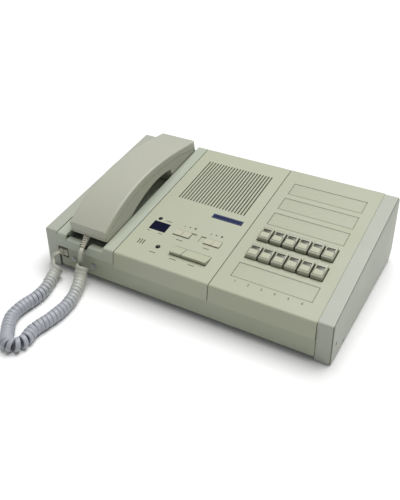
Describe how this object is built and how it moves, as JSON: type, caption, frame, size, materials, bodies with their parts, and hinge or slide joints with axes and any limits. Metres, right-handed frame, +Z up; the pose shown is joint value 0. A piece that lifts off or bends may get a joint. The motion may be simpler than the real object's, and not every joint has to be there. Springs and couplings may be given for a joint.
{
  "type": "desk intercom",
  "caption": "Sloping desk intercom station with a lift-off handset on a curly cord, speaker, blank display, slide controls, press bars and labelled call keys.",
  "frame": {"origin": "middle of the case's footprint, on the table under its rubber feet", "axes": "+Z up, -Y towards the user, +X to the user's right"},
  "size_m": [0.3768, 0.3681, 0.1067],
  "materials": {
    "case_plastic": "fine matte textured moulding",
    "handset_plastic": "satin moulding",
    "key_plastic": "satin moulding",
    "clear_plastic": "clear cover over paper",
    "label_paper": "blank card",
    "name_plate": "plain dark blue plate",
    "display_window": "dark tinted window",
    "lamp_lens": "unlit tinted lens",
    "steel": "pressed steel",
    "screw_steel": "zinc plated",
    "cone_paper": "pressed paper cone",
    "magnet_ferrite": "ferrite",
    "black_plastic": "dark moulding",
    "circuit_board": "printed circuit board",
    "inner_plastic": "unpainted moulding",
    "plug_plastic": "cream flexible moulding",
    "cord_pvc": "soft grey PVC",
    "foot_rubber": "moulded rubber"
  },
  "bodies": {
    "case": {"base_case": "case_plastic", "left_end_cap": "case_plastic", "right_end_cap": "case_plastic", "cradle_housing": "case_plastic", "speaker_panel": "case_plastic", "key_panel": "case_plastic", "strip_cover_1": "clear_plastic", "strip_cover_2": "clear_plastic", "strip_cover_3": "clear_plastic", "strip_cover_4": "clear_plastic", "strip_papers": "label_paper", "name_plate": "name_plate", "display_window": "display_window", "display_module": "black_plastic", "status_lamp": "lamp_lens", "call_lamp": "lamp_lens", "microphone": "steel", "speaker_basket": "steel", "speaker_cone": "cone_paper", "speaker_magnet": "magnet_ferrite", "slide_controls": "black_plastic", "press_bar_pin": "steel", "bar_switches": "black_plastic", "control_board": "circuit_board", "key_guide": "inner_plastic", "key_switches": "black_plastic", "key_board": "circuit_board", "hook_switch": "black_plastic", "cord_socket": "black_plastic", "cord_plug": "plug_plastic", "handset_lead": "cord_pvc", "cord_coil": "cord_pvc", "base_lead": "cord_pvc", "line_socket": "black_plastic", "main_board": "circuit_board", "front_screws": "screw_steel", "bottom_screws": "screw_steel", "rubber_feet": "foot_rubber"},
    "handset": {"handset_top_shell": "handset_plastic", "handset_bottom_shell": "handset_plastic", "receiver_capsule": "steel", "transmitter_capsule": "steel", "handset_boot": "plug_plastic"},
    "slider_left": {"slider_left": "key_plastic"},
    "slider_right": {"slider_right": "key_plastic"},
    "narrow_press_bar": {"narrow_press_bar": "key_plastic"},
    "wide_press_bar": {"wide_press_bar": "key_plastic"},
    "hook_plunger": {"hook_plunger": "inner_plastic"},
    "station_key_1": {"station_key_1": "key_plastic"},
    "station_key_2": {"station_key_2": "key_plastic"},
    "station_key_3": {"station_key_3": "key_plastic"},
    "station_key_4": {"station_key_4": "key_plastic"},
    "station_key_5": {"station_key_5": "key_plastic"},
    "station_key_6": {"station_key_6": "key_plastic"},
    "station_key_7": {"station_key_7": "key_plastic"},
    "station_key_8": {"station_key_8": "key_plastic"},
    "station_key_9": {"station_key_9": "key_plastic"},
    "station_key_10": {"station_key_10": "key_plastic"},
    "station_key_11": {"station_key_11": "key_plastic"},
    "station_key_12": {"station_key_12": "key_plastic"}
  },
  "joints": [
    {"name": "handset_lift", "type": "slide", "parent": "case", "child": "handset", "axis": [0, -0.1757, 0.9844], "range_m": [0, 0.07]},
    {"name": "key_1_press", "type": "slide", "parent": "case", "child": "station_key_1", "axis": [0, -0.1757, 0.9844], "range_m": [-0.0025, 0], "stiffness_N_per_m": 150, "springref_m": 0.003},
    {"name": "key_2_press", "type": "slide", "parent": "case", "child": "station_key_2", "axis": [0, -0.1757, 0.9844], "range_m": [-0.0025, 0], "stiffness_N_per_m": 150, "springref_m": 0.003},
    {"name": "key_3_press", "type": "slide", "parent": "case", "child": "station_key_3", "axis": [0, -0.1757, 0.9844], "range_m": [-0.0025, 0], "stiffness_N_per_m": 150, "springref_m": 0.003},
    {"name": "key_4_press", "type": "slide", "parent": "case", "child": "station_key_4", "axis": [0, -0.1757, 0.9844], "range_m": [-0.0025, 0], "stiffness_N_per_m": 150, "springref_m": 0.003},
    {"name": "key_5_press", "type": "slide", "parent": "case", "child": "station_key_5", "axis": [0, -0.1757, 0.9844], "range_m": [-0.0025, 0], "stiffness_N_per_m": 150, "springref_m": 0.003},
    {"name": "key_6_press", "type": "slide", "parent": "case", "child": "station_key_6", "axis": [0, -0.1757, 0.9844], "range_m": [-0.0025, 0], "stiffness_N_per_m": 150, "springref_m": 0.003},
    {"name": "key_7_press", "type": "slide", "parent": "case", "child": "station_key_7", "axis": [0, -0.1757, 0.9844], "range_m": [-0.0025, 0], "stiffness_N_per_m": 150, "springref_m": 0.003},
    {"name": "key_8_press", "type": "slide", "parent": "case", "child": "station_key_8", "axis": [0, -0.1757, 0.9844], "range_m": [-0.0025, 0], "stiffness_N_per_m": 150, "springref_m": 0.003},
    {"name": "key_9_press", "type": "slide", "parent": "case", "child": "station_key_9", "axis": [0, -0.1757, 0.9844], "range_m": [-0.0025, 0], "stiffness_N_per_m": 150, "springref_m": 0.003},
    {"name": "key_10_press", "type": "slide", "parent": "case", "child": "station_key_10", "axis": [0, -0.1757, 0.9844], "range_m": [-0.0025, 0], "stiffness_N_per_m": 150, "springref_m": 0.003},
    {"name": "key_11_press", "type": "slide", "parent": "case", "child": "station_key_11", "axis": [0, -0.1757, 0.9844], "range_m": [-0.0025, 0], "stiffness_N_per_m": 150, "springref_m": 0.003},
    {"name": "key_12_press", "type": "slide", "parent": "case", "child": "station_key_12", "axis": [0, -0.1757, 0.9844], "range_m": [-0.0025, 0], "stiffness_N_per_m": 150, "springref_m": 0.003},
    {"name": "narrow_press_bar_swing", "type": "hinge", "parent": "case", "child": "narrow_press_bar", "pos_m": [-0.02, -0.0733, 0.05213], "axis": [1, 0, 0], "range_deg": [0, 5], "stiffness_Nm_per_rad": 0.05, "springref_deg": -11.46},
    {"name": "wide_press_bar_swing", "type": "hinge", "parent": "case", "child": "wide_press_bar", "pos_m": [0.01, -0.0733, 0.05213], "axis": [1, 0, 0], "range_deg": [0, 5], "stiffness_Nm_per_rad": 0.05, "springref_deg": -11.46},
    {"name": "left_slide", "type": "slide", "parent": "case", "child": "slider_left", "axis": [1, 0, 0], "range_m": [0, 0.0064]},
    {"name": "right_slide", "type": "slide", "parent": "case", "child": "slider_right", "axis": [1, 0, 0], "range_m": [-0.0064, 0]},
    {"name": "hook_rise", "type": "slide", "parent": "case", "child": "hook_plunger", "axis": [0, -0.1757, 0.9844], "range_m": [0, 0.004]}
  ],
  "couplings": [
    {"joint": "hook_rise", "follows": "handset_lift", "ratio": 0.05}
  ]
}
